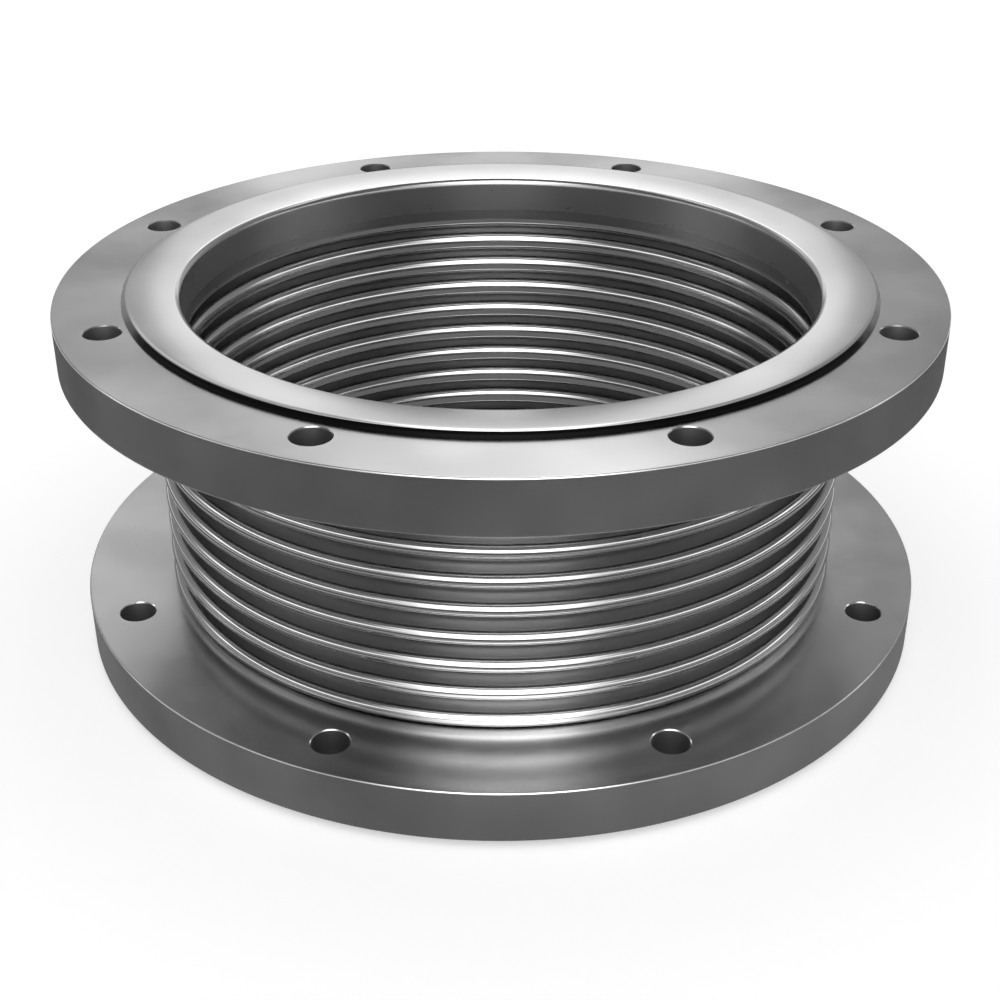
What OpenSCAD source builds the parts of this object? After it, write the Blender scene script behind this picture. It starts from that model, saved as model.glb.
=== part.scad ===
// Exhaust bellows: a corrugated metal tube between two loose flanges.
// Each end of the tube carries a flared collar, whose lip laps over its flange's outer face.
// The axis is +Z, and z = 0 is the outer face of the lower lip.

/* [Gas passage] */
// Inside diameter of the passage, the same through the necks and the roots of the folds
bore_d = 216; // [180:1:260]

/* [Flanges] */
// Radial width of each loose flange, from the passage to its rim
ring_w = 42; // [40:0.5:60]
// Thickness of each loose flange
flange_t = 18; // [12:1:24]
// Radius of the flange's outer edges
flange_edge_r = 0.6; // [0.3:0.1:2]
// Radial gap between the flange's bore and the collar's neck
bore_clearance = 0.5; // [0.3:0.1:1.5]
// Chamfer of the flange's bore on the side that faces the folds
bore_chamfer = 0.6; // [0.3:0.1:1.5]

/* [Bolt holes] */
// Number of bolt holes in each flange
bolt_count = 8; // [4:1:16]
// Diameter of each bolt hole
bolt_d = 12; // [8:0.5:13]
// Distance from the middle of each bolt hole to the flange's rim
bolt_edge = 14.5; // [12:0.5:18]
// Chamfer of the bolt holes' rims
bolt_chamfer = 0.5; // [0.2:0.1:1]

/* [Collars] */
// Thickness of the collar's lip
lip_t = 2; // [1:0.1:3]
// Gap between the lip's rim and the bolt holes
lip_gap = 2; // [1:0.5:4]
// Radial width of the rounded rim on the lip's outer face
rim_w = 2.9; // [1:0.1:4]
// Radial width of the flat sealing face on the lip
flat_w = 3; // [2:0.5:6]
// Angle at which the lip's outer face slopes down from the sealing face towards the passage
lip_slope = 5.3; // [0:0.1:8]
// Radius of the bend from the sloping face into the passage
flare_r = 2.55; // [2:0.05:4]
// Wall of the collar's neck
neck_t = 2; // [1.5:0.1:3]
// Depth of the neck, from the lip's outer face to its butt joint with the bellows
neck_h = 14; // [8:0.5:15]
// How deep the flare's back reaches from the lip's back face
back_h = 2.2; // [1.5:0.1:4]
// Gap between the flare's back and the relief in the flange's bore
flare_clearance = 0.5; // [0.3:0.1:1]

/* [Bellows] */
// Number of folds
fold_count = 9; // [3:1:15]
// Distance from one fold to the next
fold_pitch = 10; // [8:0.1:14]
// Depth of a fold, from the passage to the outside of the crest
fold_depth = 12; // [9:0.5:20]
// Radius of the bends at the crests, to the middle of the wall
crest_bend_r = 2.075; // [1.5:0.025:2.5]
// Thickness of the bellows' wall
bellows_t = 0.8; // [0.6:0.1:1.4]
// Gap between the end folds and the flanges' inner faces
end_gap = 0.35; // [0.3:0.05:3]

/* [Hidden] */
$fn = 96;

// Steps in a rounded edge, and in the flare's bend and back
edge_steps = 6;
flare_steps = 16;
// How far a cutter runs past the face that it cuts
past = 1;

bore_r = bore_d / 2;
neck_r = bore_r + neck_t;
flange_r = bore_r + ring_w;
bolt_circle_r = flange_r - bolt_edge;

// The lip's outer face: a rounded rim, the flat sealing face, and the slope down to the bend
lip_r = bolt_circle_r - bolt_d / 2 - lip_gap;
flat_r = lip_r - rim_w - flat_w;
slope_w = flat_r - bore_r - flare_r * (1 - sin(lip_slope));
slope_h = slope_w * tan(lip_slope);
bend_z = slope_h + flare_r * cos(lip_slope);
// The flare's back is a quarter of an ellipse, from the neck's outside to under the sealing face
back_w = flat_r - neck_r;

// Each fold is two flat webs, joined by half-round bends, which are wider at the roots
root_bend_r = fold_pitch / 2 - crest_bend_r;
root_x = bore_r + bellows_t / 2 + root_bend_r;
crest_x = bore_r + fold_depth - bellows_t / 2 - crest_bend_r;

// Heights
folds_h = (fold_count - 1) * fold_pitch;
flange_gap = folds_h + 2 * (crest_bend_r + bellows_t / 2 + end_gap);
total_h = 2 * (lip_t + flange_t) + flange_gap;
middle_z = total_h / 2;
first_crest_z = middle_z - folds_h / 2;
first_root_z = first_crest_z - fold_pitch / 2;

flange_bore_r = neck_r + bore_clearance;
relief_h = back_h + flare_clearance;
relief_r = flat_r + flare_clearance;

steel = [0.62, 0.62, 0.62];
polished = [0.74, 0.74, 0.74];
formed = [0.55, 0.55, 0.55];

// Points on an arc of an ellipse about [x, z], from angle a to angle b
function arc(x, z, rx, rz, a, b, steps) = [
    for (i = [0:steps])
        let (angle = a + (b - a) * i / steps)
            [x + rx * cos(angle), z + rz * sin(angle)]
];

// Section of a lower flange, with its outer face at z = 0
function flange_section() = concat(
    [[flange_bore_r, relief_h], [relief_r, 0]],
    arc(flange_r - flange_edge_r, flange_edge_r, flange_edge_r, flange_edge_r, -90, 0, edge_steps),
    arc(flange_r - flange_edge_r, flange_t - flange_edge_r, flange_edge_r, flange_edge_r,
        0, 90, edge_steps),
    [[flange_bore_r + bore_chamfer, flange_t], [flange_bore_r, flange_t - bore_chamfer]]
);

// Section of a lower collar, with the lip's outer face at z = 0
function collar_section() = concat(
    [[bore_r, neck_h]],
    arc(bore_r + flare_r, bend_z, flare_r, flare_r, 180, 270 - lip_slope, flare_steps),
    [[flat_r, 0]],
    arc(lip_r - rim_w, lip_t, rim_w, lip_t, -90, 0, edge_steps),
    arc(flat_r, lip_t + back_h, back_w, back_h, 270, 180, flare_steps),
    [[neck_r, neck_h]]
);

// A bolt hole through a flange whose outer face is at z = 0, with both rims chamfered
module bolt_hole() {
    translate([0, 0, -past])
        cylinder(d = bolt_d, h = flange_t + 2 * past);
    for (face = [0, 1])
        translate([0, 0, face * flange_t])
            mirror([0, 0, face])
                translate([0, 0, -past])
                    cylinder(r1 = bolt_d / 2 + bolt_chamfer + past, r2 = bolt_d / 2 - past,
                        h = bolt_chamfer + 2 * past);
}

module flange() {
    color(steel)
        difference() {
            rotate_extrude()
                polygon(flange_section());
            for (i = [0:bolt_count - 1])
                rotate([0, 0, (i + 0.5) * 360 / bolt_count])
                    translate([bolt_circle_r, 0, 0])
                        bolt_hole();
        }
}

module collar() {
    color(polished)
        rotate_extrude()
            polygon(collar_section());
}

// Turns a lower piece over, so that it serves at the top
module at_top() {
    translate([0, 0, total_h])
        mirror([0, 0, 1])
            children();
}

// A bend of the wall: the part of a ring inside the box from [x, z] that is [w, h] in size
module bend(bend_r, x, z, w, h) {
    intersection() {
        difference() {
            circle(r = bend_r + bellows_t / 2);
            circle(r = bend_r - bellows_t / 2);
        }
        translate([x, z])
            square([w, h]);
    }
}

module bellows_section() {
    reach = fold_pitch / 2;
    for (i = [0:fold_count - 1])
        translate([0, first_crest_z + i * fold_pitch]) {
            translate([crest_x, 0])
                bend(crest_bend_r, 0, -reach, reach, 2 * reach);
            for (side = [-1, 1])
                translate([root_x, side * crest_bend_r - bellows_t / 2])
                    square([crest_x - root_x, bellows_t]);
        }
    for (i = [1:fold_count - 1])
        translate([root_x, first_root_z + i * fold_pitch])
            bend(root_bend_r, -reach, -reach, reach, 2 * reach);
    for (top = [0, 1])
        translate([0, top * total_h])
            mirror([0, top]) {
                translate([root_x, first_root_z])
                    bend(root_bend_r, -reach, 0, reach, reach);
                translate([bore_r, neck_h])
                    square([bellows_t, first_root_z - neck_h]);
            }
}

module lower_flange() {
    translate([0, 0, lip_t])
        flange();
}

module upper_flange() {
    at_top()
        lower_flange();
}

module lower_collar() {
    collar();
}

module upper_collar() {
    at_top()
        collar();
}

module bellows() {
    color(formed)
        rotate_extrude()
            bellows_section();
}

upper_flange();
lower_flange();
upper_collar();
lower_collar();
bellows();
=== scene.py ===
# Dresses the exhaust bellows, which are two turned flanges, two lapped collars and a folded tube.
# They stand on a plain pale floor, and hidden cards give the metal something to mirror.
import math

import bmesh
import bpy
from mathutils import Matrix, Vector


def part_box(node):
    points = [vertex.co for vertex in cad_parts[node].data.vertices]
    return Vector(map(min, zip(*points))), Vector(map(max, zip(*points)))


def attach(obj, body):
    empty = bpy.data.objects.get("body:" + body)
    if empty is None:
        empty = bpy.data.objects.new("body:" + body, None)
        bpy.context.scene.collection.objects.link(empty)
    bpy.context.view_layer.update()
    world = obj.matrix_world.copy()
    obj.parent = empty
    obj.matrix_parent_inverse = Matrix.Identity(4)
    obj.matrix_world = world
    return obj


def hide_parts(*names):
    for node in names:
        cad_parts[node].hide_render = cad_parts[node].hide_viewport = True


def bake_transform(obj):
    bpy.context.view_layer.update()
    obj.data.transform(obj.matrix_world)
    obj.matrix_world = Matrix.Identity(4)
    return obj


MM = 0.001

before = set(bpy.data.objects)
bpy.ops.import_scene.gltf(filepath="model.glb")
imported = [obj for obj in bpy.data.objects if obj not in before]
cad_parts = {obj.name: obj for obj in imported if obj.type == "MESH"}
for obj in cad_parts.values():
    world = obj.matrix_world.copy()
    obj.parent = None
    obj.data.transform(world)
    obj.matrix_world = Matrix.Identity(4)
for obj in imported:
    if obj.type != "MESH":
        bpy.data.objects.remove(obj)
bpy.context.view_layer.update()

# Sizes that come from the frame
flange_low, flange_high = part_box("lower_flange")
collar_low, collar_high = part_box("lower_collar")
bellows_low, bellows_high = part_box("bellows")
upper_low, upper_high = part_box("upper_collar")
top = upper_high.z
FLANGE_R = flange_high.x
FLANGE_T = flange_high.z - flange_low.z
LIP_T = flange_low.z - collar_low.z
LIP_R = collar_high.x
NECK_H = collar_high.z - collar_low.z
CREST_R = bellows_high.x

# The passage and the necks round it
BORE_R = 108 * MM
NECK_R = 110 * MM

# The flanges: their rounded and worn edges, the gap to the collar, and the bolt holes
EDGE_R = 0.6 * MM
BORE_GAP = 0.5 * MM
BOLTS = 8
BOLT_R = 6 * MM
BOLT_CIRCLE_R = 135.5 * MM
BOLT_CHAMFER = 0.35 * MM

# The collars' lips: slopes in degrees, rounded rim, bend into the passage and the flare's back
LIP_SLOPE_OUTER = 3.6
LIP_SLOPE_INNER = 6.6
RIM_W = 2.9 * MM
FLAT_W = 3 * MM
FLARE_R = 2.55 * MM
BACK_H = 2.2 * MM

# The folds
FOLDS = 9
FOLD_PITCH = 10 * MM
CREST_BEND = 2.075 * MM
WALL = 0.8 * MM

# Steps round the axis, a multiple of the number of bolts, and in the bends and edges
ROUND_STEPS = 192
BEND_STEPS = 10
EDGE_STEPS = 5
LIP_STEPS = 16
DISH_STEPS = 10
HOLE_RINGS = 3
SECTOR_STEPS = ROUND_STEPS // BOLTS
SIDE_STEPS = SECTOR_STEPS // 3
# Steps of the lip's rim that stay bright, before its edge with a painted shade begins
BRIGHT_STEPS = 5
# Turn in degrees from a bolt hole's outward direction back to the first corner of its sector
CORNER_TURN = 90 + 180 / BOLTS
# Angle in degrees from which an edge is sharp, and the weight of large faces in the normals
SHARP_ANGLE = 35
FACE_WEIGHT = 80

# Patterns in the metal: cycles per metre, levels of detail and the strength of the detail
PATCHES = (16.0, 2.0, 0.5)
CLOUDS = (55.0, 6.0, 0.6)
SMUDGES = (120.0, 4.0, 0.5)
SPECKS = (900.0, 2.0, 0.5)
# The tool marks' width, levels of detail, depth and strength
MARK_SIZE = 0.35 * MM
MARK_DETAIL = 3.0
MARK_DEPTH = 0.05 * MM
MARK_BUMP = 0.04
# How far the patterns move the roughness and the tone, from their lowest to their highest value
MARK_ROUGH = 0.10
CLOUD_ROUGH = 0.16
SPECK_ROUGH = 0.02
MARK_TONE = 0.08
CLOUD_TONE = 0.14
PATCH_TONE = 1.2
# The passage's straight ends are duller and darkened by a painted shade, up to a depth in the wall
# and up to the first bend
DULL_ROUGH = 0.14
PASSAGE_PAINTED_SHADE = 0.4
DULL_SHADED_DEPTH = (0.1 * MM, 0.7 * MM)
DULL_SHADED_FADE = 0.5 * MM
# The folds' webs are darkened by a painted shade between the bends, and end at a distance from
# their middle
WEB_PAINTED_SHADE = 0.22
WEB_END = (3 * MM, 4.5 * MM)
# Worn rims, lighter as wear and as a painted highlight, by the depth below the rim as a share of
# the edge's radius
RIM_WEAR_HIGHLIGHT_FROM = (0.02, 0.15)
RIM_WEAR_HIGHLIGHT_TO = (0.7, 1.0)
# Worn chamfers, lighter as wear and as a painted highlight, and holes darkened by a painted shade,
# by the distance outside the hole as a share of the chamfer
CHAMFER_WEAR_HIGHLIGHT_FROM = (0.1, 0.4)
CHAMFER_WEAR_HIGHLIGHT_TO = (1.0, 1.5)
HOLE_DARK_TO = (0.02, 0.3)
# The least wear and painted highlight, and how much the clouds add to it
WEAR_LEAST = 0.35
WEAR_CLOUDS = 0.9
WORN_ROUGH = 0.16
WEAR_HIGHLIGHT_TONE = 0.4
HOLE_ROUGH = 0.5
HOLE_PAINTED_SHADE = 0.45
# The lip's edge has a painted shade, dark in front. Its steel gets bare between these places along
# y, unevenly
PAINTED_SHADE_TONE = 0.004
BARE_TONE = 0.56
BARE_FROM = (-65 * MM, -20 * MM)
BARE_UNEVEN = 20 * MM
LIP_EDGE_ROUGH = 0.29
LIP_EDGE_ROUGH_RANGE = 0.1
LIP_EDGE_SHINE = 0.05

# Sockets of a Mix node that mixes colours
MIX_A = 6
MIX_B = 7
MIX_RESULT = 2

# The cards stand round a point at this height. Their grids, and the rings of the round ones
CARD_HEIGHT = 0.06
CARD_STEPS = 24
DISC_RINGS = 8
DISC_STEPS = 96
DISC_HOLE_R = 1 * MM

# The floor and the room
FLOOR_SIZE = 6.0
FLOOR_TONE = 0.8
FLOOR_GLOW = 0.47
ROOM_LIGHT = 0.75
ROOM_SEEN = 1.0

# The photograph's camera, fitted to the circles of the flanges and the bolt holes
CAMERA_BACK = 0.510104
CAMERA_UP = 0.313125
CAMERA_TILT = 28.54
CAMERA_LENS = 56.53
CAMERA_SENSOR = 36
CAMERA_SHIFT = -0.0007


def arc(centre_r, centre_z, reach_r, reach_z, start, end, steps):
    """Points (r, z) on an arc of an ellipse, with angles in degrees."""
    points = []
    for i in range(steps + 1):
        a = math.radians(start + (end - start) * i / steps)
        points.append((centre_r + reach_r * math.cos(a), centre_z + reach_z * math.sin(a)))
    return points


def turned_over(outline, at_top):
    """The outline of a lower piece, or the same piece turned over for the upper end."""
    if at_top:
        return [(r, top - z) for r, z in outline]
    return outline


def ring_at(bm, r, z, steps=ROUND_STEPS):
    """A ring of vertices round the axis."""
    ring = []
    for k in range(steps):
        a = 2 * math.pi * k / steps
        ring.append(bm.verts.new((r * math.cos(a), r * math.sin(a), z)))
    return ring


def join_rings(bm, a, b):
    """Joins two rings of vertices of the same length by quads."""
    for k in range(len(a)):
        n = (k + 1) % len(a)
        bm.faces.new((a[k], a[n], b[n], b[k]))


def lathe(bm, outline):
    """Turns a closed outline of (r, z) points round the axis and returns the rings of vertices."""
    rings = [ring_at(bm, r, z) for r, z in outline]
    for i in range(len(rings)):
        join_rings(bm, rings[i], rings[(i + 1) % len(rings)])
    return rings


def add_object(name, bm, material):
    """Makes an object of a mesh and links it to the scene."""
    mesh = bpy.data.meshes.new(name)
    bm.to_mesh(mesh)
    bm.free()
    mesh.materials.append(material)
    obj = bpy.data.objects.new(name, mesh)
    bpy.context.scene.collection.objects.link(obj)
    return obj


def finish_piece(name, bm, material):
    """Makes a piece of the mesh, smooth apart from its sharp edges."""
    bmesh.ops.recalc_face_normals(bm, faces=bm.faces)
    obj = add_object(name, bm, material)
    obj.data.set_sharp_from_angle(angle=math.radians(SHARP_ANGLE))
    normals = obj.modifiers.new("even_faces", "WEIGHTED_NORMAL")
    normals.keep_sharp = True
    normals.weight = FACE_WEIGHT
    return obj


def flange_outline():
    """The lower flange's outer half: from its outer face round the rim to its inner face."""
    low = LIP_T
    high = LIP_T + FLANGE_T
    centre = FLANGE_R - EDGE_R
    rim = arc(centre, low + EDGE_R, EDGE_R, EDGE_R, -90, 0, EDGE_STEPS)
    rim += arc(centre, high - EDGE_R, EDGE_R, EDGE_R, 0, 90, EDGE_STEPS)
    return rim


def flange_bore():
    """The lower flange's bore, from the inner face past the flare's relief to the outer face."""
    bore = NECK_R + BORE_GAP
    high = LIP_T + FLANGE_T
    relief_r = LIP_R - RIM_W - FLAT_W + BORE_GAP
    relief_z = LIP_T + BACK_H + BORE_GAP
    return [(bore + EDGE_R, high), (bore, high - EDGE_R), (bore, relief_z), (relief_r, LIP_T)]


def drilled_face(bm, inner, outer):
    """Fills the flat ring between two rings of vertices, with a round hole in each sector.

    Returns the rims of the holes.
    """
    z = inner[0].co.z
    r_in = inner[0].co.xy.length
    r_out = outer[0].co.xy.length
    # The straight sides between sectors
    sides = []
    for s in range(BOLTS):
        a = 2 * math.pi * s / BOLTS
        side = [inner[s * SECTOR_STEPS]]
        for i in range(1, SIDE_STEPS):
            r = r_in + (r_out - r_in) * i / SIDE_STEPS
            side.append(bm.verts.new((r * math.cos(a), r * math.sin(a), z)))
        side.append(outer[s * SECTOR_STEPS])
        sides.append(side)
    rims = []
    for s in range(BOLTS):
        first = s * SECTOR_STEPS
        along = range(first + 1, first + SECTOR_STEPS)
        loop = list(sides[s])
        loop += [outer[k] for k in along]
        loop += list(reversed(sides[(s + 1) % BOLTS]))
        loop += [inner[k] for k in reversed(along)]
        middle = 2 * math.pi * (s + 0.5) / BOLTS
        centre = Vector((BOLT_CIRCLE_R * math.cos(middle), BOLT_CIRCLE_R * math.sin(middle), z))
        rims.append(round_hole(bm, loop, centre))
    return rims


def round_hole(bm, loop, centre):
    """Fills between a loop of vertices and a bolt hole's chamfered rim, and returns the rim."""
    last = loop
    hole_r = BOLT_R + BOLT_CHAMFER
    start = math.atan2(centre.y, centre.x) - math.radians(CORNER_TURN)
    for i in range(1, HOLE_RINGS + 1):
        ring = []
        for k, corner in enumerate(loop):
            a = start + 2 * math.pi * k / len(loop)
            on_hole = centre + hole_r * Vector((math.cos(a), math.sin(a), 0))
            ring.append(bm.verts.new(corner.co.lerp(on_hole, i / HOLE_RINGS)))
        join_rings(bm, last, ring)
        last = ring
    return last


def drill(bm, upper, lower):
    """Joins the holes' rims in the higher face to those in the lower one, by chamfers and walls."""
    for high_rim, low_rim in zip(upper, lower):
        centre = sum((v.co for v in high_rim), Vector()) / len(high_rim)
        walls = []
        for z in (high_rim[0].co.z - BOLT_CHAMFER, low_rim[0].co.z + BOLT_CHAMFER):
            ring = []
            for v in high_rim:
                out = (v.co - centre).normalized() * BOLT_R
                ring.append(bm.verts.new((centre.x + out.x, centre.y + out.y, z)))
            walls.append(ring)
        join_rings(bm, high_rim, walls[0])
        join_rings(bm, walls[0], walls[1])
        join_rings(bm, walls[1], low_rim)


def make_flange(name, material, at_top):
    """A flange: a drilled plate with a rounded rim and a relief for the flare in its bore."""
    rim = flange_outline()
    outline = turned_over(rim + flange_bore(), at_top)
    bm = bmesh.new()
    rings = [ring_at(bm, r, z) for r, z in outline]
    # The faces between the rim and the bore are drilled, and the rest is joined ring by ring
    rim_end = len(rim) - 1
    for i in range(len(rings) - 1):
        if i != rim_end:
            join_rings(bm, rings[i], rings[i + 1])
    inner_face = drilled_face(bm, rings[rim_end + 1], rings[rim_end])
    outer_face = drilled_face(bm, rings[-1], rings[0])
    if at_top:
        drill(bm, outer_face, inner_face)
    else:
        drill(bm, inner_face, outer_face)
    return finish_piece(name, bm, material)


def make_collar(name, material, shaded_edge_material, at_top):
    """A collar: the neck, the flare and the lip that laps over the flange, its rim's edge with a
    painted shade.
    """
    inner = math.radians(LIP_SLOPE_INNER)
    outer = math.radians(LIP_SLOPE_OUTER)
    edge_r = LIP_R - RIM_W
    flat_r = edge_r - FLAT_W
    # The lip's face is dished: it gets steeper from its rim to the bend into the passage
    slope_w = edge_r - BORE_R - FLARE_R * (1 - math.sin(inner))
    dish = []
    for i in range(1, DISH_STEPS + 1):
        u = 1 - i / DISH_STEPS
        fall = u * (outer + (inner - outer) * u / 2)
        dish.append((edge_r - slope_w * u, slope_w * fall))
    bend_z = slope_w * (outer + inner) / 2 + FLARE_R * math.cos(inner)
    outline = [(BORE_R, NECK_H)]
    outline += arc(BORE_R + FLARE_R, bend_z, FLARE_R, FLARE_R, 180, 270 - LIP_SLOPE_INNER,
                   LIP_STEPS)
    outline += dish
    rim_start = len(outline) - 1
    outline += arc(edge_r, LIP_T, RIM_W, LIP_T, -90, 0, LIP_STEPS)[1:]
    outline += arc(flat_r, LIP_T + BACK_H, flat_r - NECK_R, BACK_H, 270, 180, LIP_STEPS)
    outline.append((NECK_R, NECK_H))
    bm = bmesh.new()
    rings = lathe(bm, turned_over(outline, at_top))
    painted_shade_rings = rings[rim_start + BRIGHT_STEPS:rim_start + LIP_STEPS + 1]
    dark = set(v for ring in painted_shade_rings for v in ring)
    # The rim's outer steps get the second material, which has the painted shade
    for face in bm.faces:
        if all(v in dark for v in face.verts):
            face.material_index = 1
    obj = finish_piece(name, bm, material)
    obj.data.materials.append(shaded_edge_material)
    return obj


def fold_surface(side):
    """The folds' outline on one side of the wall (1 outside, -1 inside), from bottom to top."""
    root_bend = FOLD_PITCH / 2 - CREST_BEND
    crest = CREST_BEND + side * WALL / 2
    root = root_bend - side * WALL / 2
    crest_r = CREST_R - WALL / 2 - CREST_BEND
    root_r = BORE_R + WALL / 2 + root_bend
    first_root_z = (top - FOLDS * FOLD_PITCH) / 2
    half_steps = BEND_STEPS // 2
    # The end bends are half as long, because the cuffs start at their middle
    points = arc(root_r, first_root_z, -root, root, 0, 90, half_steps)
    for i in range(FOLDS):
        root_z = first_root_z + i * FOLD_PITCH
        if i:
            points += arc(root_r, root_z, -root, root, -90, 90, BEND_STEPS)
        points += arc(crest_r, root_z + FOLD_PITCH / 2, crest, crest, -90, 90, BEND_STEPS)
    points += arc(root_r, first_root_z + FOLDS * FOLD_PITCH, -root, root, -90, 0, half_steps)
    return points


def make_bellows(name, material):
    """The folded tube, with a straight cuff at each end."""
    outside = [(BORE_R + WALL, NECK_H)] + fold_surface(1) + [(BORE_R + WALL, top - NECK_H)]
    inside = [(BORE_R, NECK_H)] + fold_surface(-1) + [(BORE_R, top - NECK_H)]
    bm = bmesh.new()
    lathe(bm, outside + list(reversed(inside)))
    return finish_piece(name, bm, material)


def grey(tone):
    """A colour without hue."""
    return (tone, tone, tone, 1)


def feed(tree, socket, value):
    """Links another node's output to a socket, or sets the socket to a plain value."""
    if isinstance(value, bpy.types.NodeSocket):
        tree.links.new(value, socket)
    else:
        socket.default_value = value


def node(tree, kind, **inputs):
    """Adds a shader node and feeds its inputs by name."""
    made = tree.nodes.new(kind)
    for key, value in inputs.items():
        feed(tree, made.inputs[key.replace("_", " ")], value)
    return made


def maths(tree, operation, a, b=0.0, c=0.0):
    """A Math node's result."""
    made = tree.nodes.new("ShaderNodeMath")
    made.operation = operation
    for socket, value in zip(made.inputs, (a, b, c)):
        feed(tree, socket, value)
    return made.outputs[0]


def total(tree, first, *others):
    """The sum of several values."""
    for other in others:
        first = maths(tree, "ADD", first, other)
    return first


def product(tree, first, *others):
    """The product of several values."""
    for other in others:
        first = maths(tree, "MULTIPLY", first, other)
    return first


def length(tree, a, b):
    """Distance of the point (a, b) from the middle."""
    return maths(tree, "SQRT", total(tree, product(tree, a, a), product(tree, b, b)))


def sway(tree, pattern, amount):
    """A pattern from 0 to 1, as a change by half the amount either way."""
    return maths(tree, "MULTIPLY_ADD", pattern, amount, -amount / 2)


def scaled(tree, share, change):
    """A factor that goes from 1 where share is 0 to 1 plus the change where it is 1."""
    return maths(tree, "MULTIPLY_ADD", share, change, 1.0)


def ramp(tree, value, start, end, low=0.0, high=1.0):
    """A value that goes smoothly from low to high between start and end."""
    made = node(tree, "ShaderNodeMapRange", Value=value)
    made.interpolation_type = "SMOOTHSTEP"
    made.inputs["From Min"].default_value = start
    made.inputs["From Max"].default_value = end
    made.inputs["To Min"].default_value = low
    made.inputs["To Max"].default_value = high
    return made.outputs["Result"]


def falling(tree, value, span):
    """1 before a span of values, and 0 after it."""
    return ramp(tree, value, *span, 1.0, 0.0)


def band(tree, value, rise, fall):
    """1 between two spans of values, in which it rises and falls, and 0 outside of them."""
    return product(tree, ramp(tree, value, *rise), falling(tree, value, fall))


def blend_value(tree, share, a, b):
    """a where share is 0 and b where it is 1."""
    kept = maths(tree, "SUBTRACT", 1.0, share)
    return total(tree, product(tree, a, kept), product(tree, b, share))


def blend_colour(tree, share, a, b, method="MIX"):
    """Two colours blended, with a at share 0."""
    made = node(tree, "ShaderNodeMix", Factor=share)
    made.data_type = "RGBA"
    made.blend_type = method
    feed(tree, made.inputs[MIX_A], a)
    feed(tree, made.inputs[MIX_B], b)
    return made.outputs[MIX_RESULT]


def noise(tree, place, pattern):
    """A noise pattern over the object, from 0 to 1."""
    scale, detail, strength = pattern
    made = node(tree, "ShaderNodeTexNoise", Vector=place, Scale=scale, Detail=detail,
                Roughness=strength)
    return made.outputs["Fac"]


def tool_marks(tree, x, y, z, radius):
    """Noise in fine rings round the axis, as a lathe's tool leaves them."""
    across = node(tree, "ShaderNodeCombineXYZ", X=maths(tree, "DIVIDE", x, radius))
    feed(tree, across.inputs["Y"], maths(tree, "DIVIDE", y, radius))
    feed(tree, across.inputs["Z"], maths(tree, "DIVIDE", radius, MARK_SIZE))
    made = tree.nodes.new("ShaderNodeTexNoise")
    made.noise_dimensions = "4D"
    feed(tree, made.inputs["Vector"], across.outputs[0])
    feed(tree, made.inputs["W"], maths(tree, "DIVIDE", z, MARK_SIZE))
    feed(tree, made.inputs["Scale"], 1.0)
    feed(tree, made.inputs["Detail"], MARK_DETAIL)
    return made.outputs["Fac"]


def straight_ends(tree, radius, z):
    """1 in the passage's straight ends, which are the necks and the cuffs, and 0 elsewhere."""
    off_middle = maths(tree, "ABSOLUTE", maths(tree, "SUBTRACT", z, top / 2))
    folds_end = FOLDS * FOLD_PITCH / 2
    inside = falling(tree, maths(tree, "SUBTRACT", radius, BORE_R), DULL_SHADED_DEPTH)
    past_folds = ramp(tree, off_middle, folds_end - DULL_SHADED_FADE, folds_end + DULL_SHADED_FADE)
    return product(tree, inside, past_folds)


def fold_webs(tree, radius):
    """1 on the folds' webs and 0 on the bends at both sides of them."""
    away = maths(tree, "ABSOLUTE", maths(tree, "SUBTRACT", radius, (BORE_R + CREST_R) / 2))
    return falling(tree, away, WEB_END)


def from_bolt(tree, x, y, radius):
    """Distance of a point from the axis of the nearest bolt hole."""
    sector = 2 * math.pi / BOLTS
    turn = maths(tree, "DIVIDE", maths(tree, "ARCTAN2", y, x), sector)
    share = maths(tree, "FRACT", maths(tree, "ADD", turn, BOLTS))
    off = product(tree, maths(tree, "SUBTRACT", share, 0.5), sector)
    ahead = product(tree, radius, maths(tree, "COSINE", off))
    aside = product(tree, radius, maths(tree, "SINE", off))
    return length(tree, maths(tree, "SUBTRACT", ahead, BOLT_CIRCLE_R), aside)


def wear_highlight_and_holes(tree, x, y, radius, clouds):
    """Shares of a flange's rubbed places with a painted highlight, on its rims and chamfers, and of
    the bolt holes' walls, which get a painted shade.
    """
    below_rim = maths(tree, "DIVIDE", maths(tree, "SUBTRACT", FLANGE_R, radius), EDGE_R)
    rim = band(tree, below_rim, RIM_WEAR_HIGHLIGHT_FROM, RIM_WEAR_HIGHLIGHT_TO)
    off_hole = maths(tree, "SUBTRACT", from_bolt(tree, x, y, radius), BOLT_R)
    off_hole = maths(tree, "DIVIDE", off_hole, BOLT_CHAMFER)
    chamfer = band(tree, off_hole, CHAMFER_WEAR_HIGHLIGHT_FROM, CHAMFER_WEAR_HIGHLIGHT_TO)
    wear = maths(tree, "MULTIPLY_ADD", clouds, WEAR_CLOUDS, WEAR_LEAST)
    wear_and_highlight = maths(tree, "MINIMUM", product(tree, maths(tree, "MAXIMUM", rim, chamfer), wear), 1.0)
    return wear_and_highlight, falling(tree, off_hole, HOLE_DARK_TO)


def new_material(name):
    """A material with its node tree, its shader and the place on the object."""
    material = bpy.data.materials.new(name)
    material.use_nodes = True
    tree = material.node_tree
    place = tree.nodes.new("ShaderNodeTexCoord").outputs["Object"]
    return material, tree, tree.nodes["Principled BSDF"], place


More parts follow.
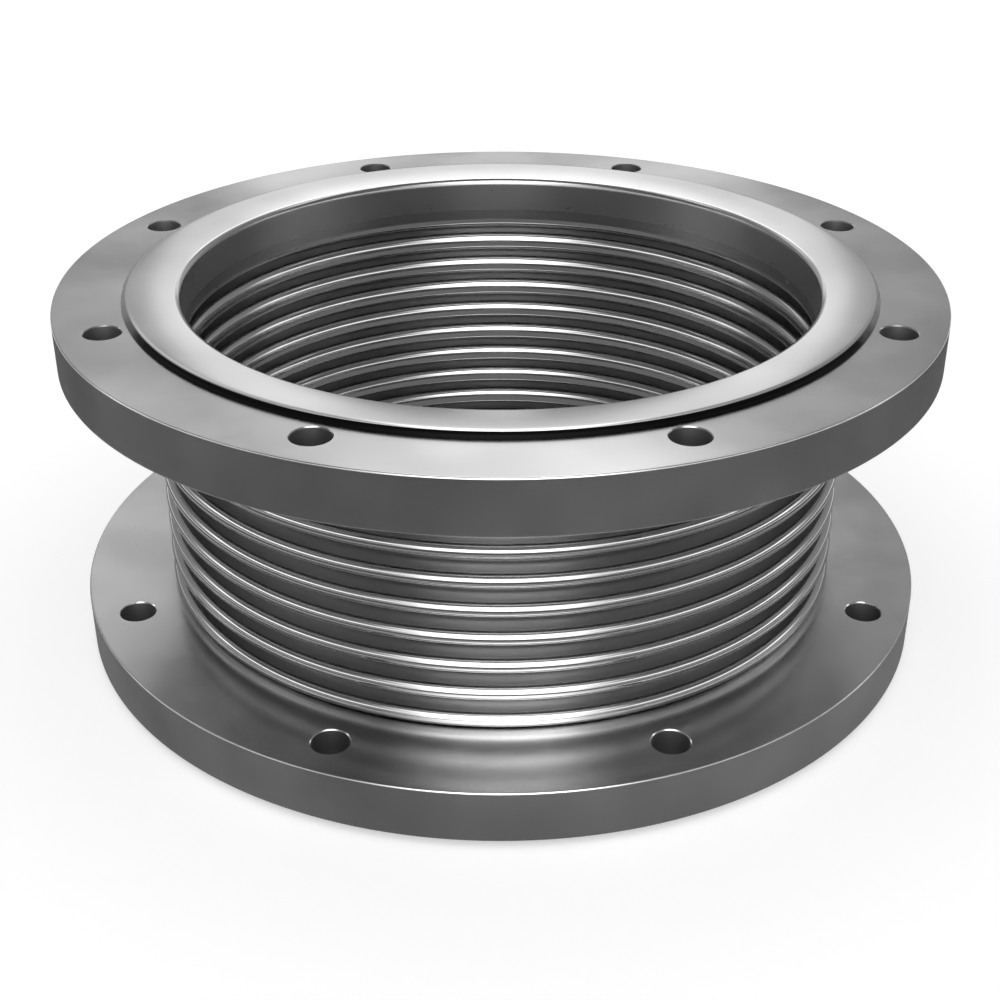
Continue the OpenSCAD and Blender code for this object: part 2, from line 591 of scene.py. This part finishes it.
def metal(name, tone, roughness, marks, cloud, webs=0.0, drilled=False):
    """Steel with rings of fine tool marks, a cloudy satin finish and small specks.

    marks and cloud are the strengths of the marks and of the clouds. webs is the added roughness
    of the folds' webs, between the bends, which also get a painted shade. drilled is for the
    flanges, with rims lighter as wear and as a painted highlight, and a painted shade in the bolt
    holes.
    """
    material, tree, shader, place = new_material(name)
    x, y, z = node(tree, "ShaderNodeSeparateXYZ", Vector=place).outputs
    radius = length(tree, x, y)
    rings = tool_marks(tree, x, y, z, radius)
    clouds = noise(tree, place, CLOUDS)
    patches = noise(tree, place, PATCHES)
    specks = noise(tree, place, SPECKS)

    rough = total(
        tree,
        sway(tree, rings, MARK_ROUGH * marks),
        sway(tree, clouds, CLOUD_ROUGH * cloud),
        sway(tree, specks, SPECK_ROUGH),
        roughness,
    )
    shade = total(
        tree,
        sway(tree, clouds, CLOUD_TONE * cloud),
        sway(tree, rings, MARK_TONE * marks),
        sway(tree, patches, PATCH_TONE * cloud),
        1.0,
    )
    # The passage's straight ends: rougher, and darkened by a painted shade
    dull_and_shaded = straight_ends(tree, radius, z)
    rough = maths(tree, "MULTIPLY_ADD", dull_and_shaded, DULL_ROUGH, rough)
    shade = product(tree, shade, scaled(tree, dull_and_shaded, -PASSAGE_PAINTED_SHADE))
    # The webs between the bends: rougher, and darkened by a painted shade
    if webs:
        web = fold_webs(tree, radius)
        rough = maths(tree, "MULTIPLY_ADD", web, webs, rough)
        shade = product(tree, shade, scaled(tree, web, -WEB_PAINTED_SHADE))
    # Rims and chamfers lighter, part wear and part painted highlight; bolt holes darkened by a
    # painted shade
    if drilled:
        wear_and_highlight, hole = wear_highlight_and_holes(tree, x, y, radius, clouds)
        edges = scaled(tree, wear_and_highlight, WEAR_HIGHLIGHT_TONE)
        shade = product(tree, shade, blend_value(tree, hole, edges, HOLE_PAINTED_SHADE))
        rough = blend_value(tree, wear_and_highlight, rough, WORN_ROUGH)
        rough = blend_value(tree, hole, rough, HOLE_ROUGH)

    colour = blend_colour(tree, 1.0, grey(tone), shade, "MULTIPLY")
    bump = node(tree, "ShaderNodeBump", Strength=MARK_BUMP * marks, Distance=MARK_DEPTH,
                Height=rings)
    feed(tree, shader.inputs["Base Color"], colour)
    feed(tree, shader.inputs["Roughness"], rough)
    feed(tree, shader.inputs["Normal"], bump.outputs[0])
    feed(tree, shader.inputs["Metallic"], 1.0)
    return material


def rim_painted_shade(name):
    """The lip's rim edge with a painted shade: dark in front, with bare steel at the sides and the
    back.
    """
    material, tree, shader, place = new_material(name)
    y = node(tree, "ShaderNodeSeparateXYZ", Vector=place).outputs["Y"]
    smudges = noise(tree, place, SMUDGES)
    # Painted shade: near black in front, bare steel towards the sides and the back
    bare = ramp(tree, total(tree, y, sway(tree, smudges, BARE_UNEVEN)), *BARE_FROM)
    rough = total(tree, sway(tree, smudges, LIP_EDGE_ROUGH_RANGE), LIP_EDGE_ROUGH)
    colour = blend_colour(tree, bare, grey(PAINTED_SHADE_TONE), grey(BARE_TONE))
    feed(tree, shader.inputs["Base Color"], colour)
    feed(tree, shader.inputs["Roughness"], rough)
    feed(tree, shader.inputs["Metallic"], bare)
    feed(tree, shader.inputs["Specular IOR Level"], LIP_EDGE_SHINE)
    return material


def card_material(name, tone, feather):
    """A glowing card, which fades out over the given share of its height and width.

    The tone is one value, or a pair for the card's start and end.
    """
    material = bpy.data.materials.new(name)
    material.use_nodes = True
    tree = material.node_tree
    tree.nodes.clear()
    edge = tree.nodes.new("ShaderNodeAttribute")
    edge.attribute_name = "edge"
    rise = tree.nodes.new("ShaderNodeAttribute")
    rise.attribute_name = "rise"
    low, high = tone if isinstance(tone, tuple) else (tone, tone)
    strength = maths(tree, "MULTIPLY_ADD", rise.outputs["Fac"], high - low, low)
    glow = node(tree, "ShaderNodeEmission", Color=grey(1), Strength=strength)
    clear = tree.nodes.new("ShaderNodeBsdfTransparent")
    mix = node(tree, "ShaderNodeMixShader", Fac=ramp(tree, edge.outputs["Fac"], 0.0, feather))
    out = tree.nodes.new("ShaderNodeOutputMaterial")
    tree.links.new(clear.outputs[0], mix.inputs[1])
    tree.links.new(glow.outputs[0], mix.inputs[2])
    tree.links.new(mix.outputs[0], out.inputs["Surface"])
    material.cycles.emission_sampling = "NONE"
    return material


def add_card(name, bm, tone, feather):
    """Makes a studio card of a mesh. It shows in reflections and nowhere else."""
    obj = add_object(name, bm, card_material(name, tone, feather))
    obj.visible_camera = False
    obj.visible_diffuse = False
    obj.visible_shadow = False
    obj.visible_transmission = False
    obj.visible_volume_scatter = False


def table_card(name, tone, reach, height, feather, forward=0, aside=0):
    """A disc of paper on the floor, with its middle forward of the object or to the right of it."""
    bm = bmesh.new()
    edge = bm.verts.layers.float.new("edge")
    move = Vector((aside, -forward, 0))
    rings = []
    for i in range(DISC_RINGS + 1):
        share = i / DISC_RINGS
        ring = ring_at(bm, DISC_HOLE_R + (reach - DISC_HOLE_R) * share, height, DISC_STEPS)
        for vert in ring:
            vert.co += move
            vert[edge] = 1 - share
        rings.append(ring)
    for a, b in zip(rings, rings[1:]):
        join_rings(bm, a, b)
    add_card(name, bm, tone, feather)


def grid_card(name, tone, feather, place, soft_sides=1):
    """A card whose points are given by place(u, v). u goes across it, and v from start to end.

    soft_sides widens the fading at the sides.
    """
    bm = bmesh.new()
    edge = bm.verts.layers.float.new("edge")
    rise = bm.verts.layers.float.new("rise")
    rows = []
    for i in range(CARD_STEPS + 1):
        v = i / CARD_STEPS
        row = []
        for k in range(CARD_STEPS + 1):
            u = k / CARD_STEPS
            vert = bm.verts.new(place(u, v))
            vert[edge] = 2 * min(u / soft_sides, (1 - u) / soft_sides, v, 1 - v)
            vert[rise] = v
            row.append(vert)
        rows.append(row)
    for low, high in zip(rows, rows[1:]):
        for k in range(CARD_STEPS):
            bm.faces.new((low[k], low[k + 1], high[k + 1], high[k]))
    add_card(name, bm, tone, feather)


def angle_at(span, share):
    """An angle in radians at a share of a range in degrees."""
    return math.radians(span[0] + (span[1] - span[0]) * share)


def card(name, tone, over, across, distance, feather, soft_sides=1):
    """A curved card round the object.

    over is its range of angles over the top, from 0 at the front to 180 at the back, and across
    its range to the sides.
    """
    def place(u, v):
        side = angle_at(across, u)
        up = angle_at(over, v)
        reach = distance * math.cos(side)
        return distance * math.sin(side), -reach * math.cos(up), CARD_HEIGHT + reach * math.sin(up)

    grid_card(name, tone, feather, place, soft_sides)


def wall_card(name, tone, around, rise, distance, feather):
    """Two upright cards, on the right and as a mirror image on the left.

    around is their range of bearings from the camera's side, and rise their range of angles
    above the floor.
    """
    for sign, end in ((1, "_right"), (-1, "_left")):
        def place(u, v):
            bearing = angle_at(around, u)
            height = CARD_HEIGHT + distance * math.tan(angle_at(rise, v))
            return sign * distance * math.sin(bearing), -distance * math.cos(bearing), height

        grid_card(name + end, tone, feather, place)


def seen_directly(tree):
    """1 for rays from the camera, mirrors and glass, and 0 for the light on matt things."""
    rays = tree.nodes.new("ShaderNodeLightPath")
    mirrored = maths(tree, "MAXIMUM", rays.outputs["Is Camera Ray"], rays.outputs["Is Glossy Ray"])
    return maths(tree, "MAXIMUM", mirrored, rays.outputs["Is Transmission Ray"])


def pale_floor():
    """A plain floor that shows white where nothing shades it, with the object's shadow."""
    bpy.ops.mesh.primitive_plane_add(size=FLOOR_SIZE, location=(0, 0, 0))
    floor = bpy.context.active_object
    floor.name = "floor"
    material = bpy.data.materials.new("floor")
    material.use_nodes = True
    tree = material.node_tree
    tree.nodes.clear()
    strength = product(tree, seen_directly(tree), FLOOR_GLOW)
    glow = node(tree, "ShaderNodeEmission", Color=grey(1), Strength=strength)
    paper = node(tree, "ShaderNodeBsdfDiffuse", Color=grey(FLOOR_TONE))
    both = tree.nodes.new("ShaderNodeAddShader")
    out = tree.nodes.new("ShaderNodeOutputMaterial")
    tree.links.new(paper.outputs[0], both.inputs[0])
    tree.links.new(glow.outputs[0], both.inputs[1])
    tree.links.new(both.outputs[0], out.inputs["Surface"])
    material.cycles.emission_sampling = "NONE"
    floor.data.materials.append(material)


def white_room():
    """The world: soft white light, and white wherever it is seen or mirrored."""
    world = bpy.data.worlds.new("room")
    bpy.context.scene.world = world
    world.use_nodes = True
    tree = world.node_tree
    background = tree.nodes["Background"]
    strength = maths(tree, "MULTIPLY_ADD", seen_directly(tree), ROOM_SEEN - ROOM_LIGHT, ROOM_LIGHT)
    feed(tree, background.inputs["Color"], grey(1))
    feed(tree, background.inputs["Strength"], strength)


def camera():
    """The photograph's view, looking down onto the middle of the part."""
    data = bpy.data.cameras.new("camera")
    data.sensor_width = CAMERA_SENSOR
    data.lens = CAMERA_LENS
    data.shift_x = CAMERA_SHIFT
    obj = bpy.data.objects.new("camera", data)
    obj.location = (0, -CAMERA_BACK, CAMERA_UP)
    obj.rotation_euler = (math.radians(90 - CAMERA_TILT), 0, 0)
    bpy.context.scene.collection.objects.link(obj)
    bpy.context.scene.camera = obj


flange_steel = metal("flange_steel", tone=0.58, roughness=0.24, marks=0.15, cloud=0.9, drilled=True)
collar_steel = metal("collar_steel", tone=0.66, roughness=0.15, marks=0.1, cloud=0.5)
lip_edge_painted_shade = rim_painted_shade("lip_edge_painted_shade")
bellows_steel = metal("bellows_steel", tone=0.60, roughness=0.12, marks=0.03, cloud=0.4, webs=0.2)

for place, at_top in (("lower", False), ("upper", True)):
    ring_body = place + "_ring"
    end_body = place + "_end"
    flange = make_flange(place + "_flange_turned", flange_steel, at_top)
    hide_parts(place + "_flange")
    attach(flange, ring_body)
    collar = make_collar(place + "_collar_turned", collar_steel, lip_edge_painted_shade, at_top)
    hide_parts(place + "_collar")
    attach(collar, end_body)

bellows = make_bellows("bellows_folded", bellows_steel)
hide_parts("bellows")
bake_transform(bellows)

camera()
white_room()
pale_floor()

# Paper on the table, which the sides and the undersides mirror
table_card("table_card", 0.13, reach=1.6, height=0.4 * MM, feather=0.05, forward=1.2)
table_card("ring_card", 0.5, reach=0.26, height=0.6 * MM, feather=0.2)
table_card("near_card", 0.19, reach=0.2, height=0.8 * MM, feather=0.1)
table_card("side_glow", 0.28, reach=0.12, height=1 * MM, feather=1.0, forward=0.14, aside=0.17)

# The light in front, for the folds outside, and the dim ceiling
card("front_softbox", 3.5, over=(0, 66.5), across=(-36, 36), distance=1.5, feather=0.08,
     soft_sides=11)
card("ceiling", 0.13, over=(60, 110), across=(-80, 80), distance=1.9, feather=0.1)

# The lights and shades behind, far away, for the flanges, the lips and the folds inside
card("top_softbox", (2.8, 1.4), over=(106, 157), across=(-8.5, 8.5), distance=7, feather=0.25)
card("back_window", (0.95, 1.2), over=(154, 172), across=(-11, 11), distance=6.5, feather=0.2)
card("back_dip", 0.45, over=(158, 186), across=(-5, 5), distance=6.2, feather=0.5)
card("low_dip", 0.22, over=(163.5, 182), across=(-7.5, 7.5), distance=6.0, feather=0.4)
card("low_spot", 0.9, over=(162, 172), across=(-1.6, 1.6), distance=5.8, feather=0.8)
card("left_glow", 0.75, over=(138, 156), across=(-42, -10), distance=7.2, feather=0.3)
card("right_shade", 0.3, over=(138, 156), across=(10, 42), distance=7.2, feather=0.3)
card("back_card", 0.43, over=(120, 190), across=(-60, 60), distance=7.5, feather=0.2)

# The walls at both sides, with a bright strip
wall_card("grey_wall", (0.34, 0.2), around=(22, 150), rise=(-1, 52), distance=2.0, feather=0.05)
wall_card("bright_strip", 1.9, around=(20, 120), rise=(17, 29), distance=1.7, feather=0.4)

scene = bpy.context.scene
scene.view_settings.view_transform = "Standard"
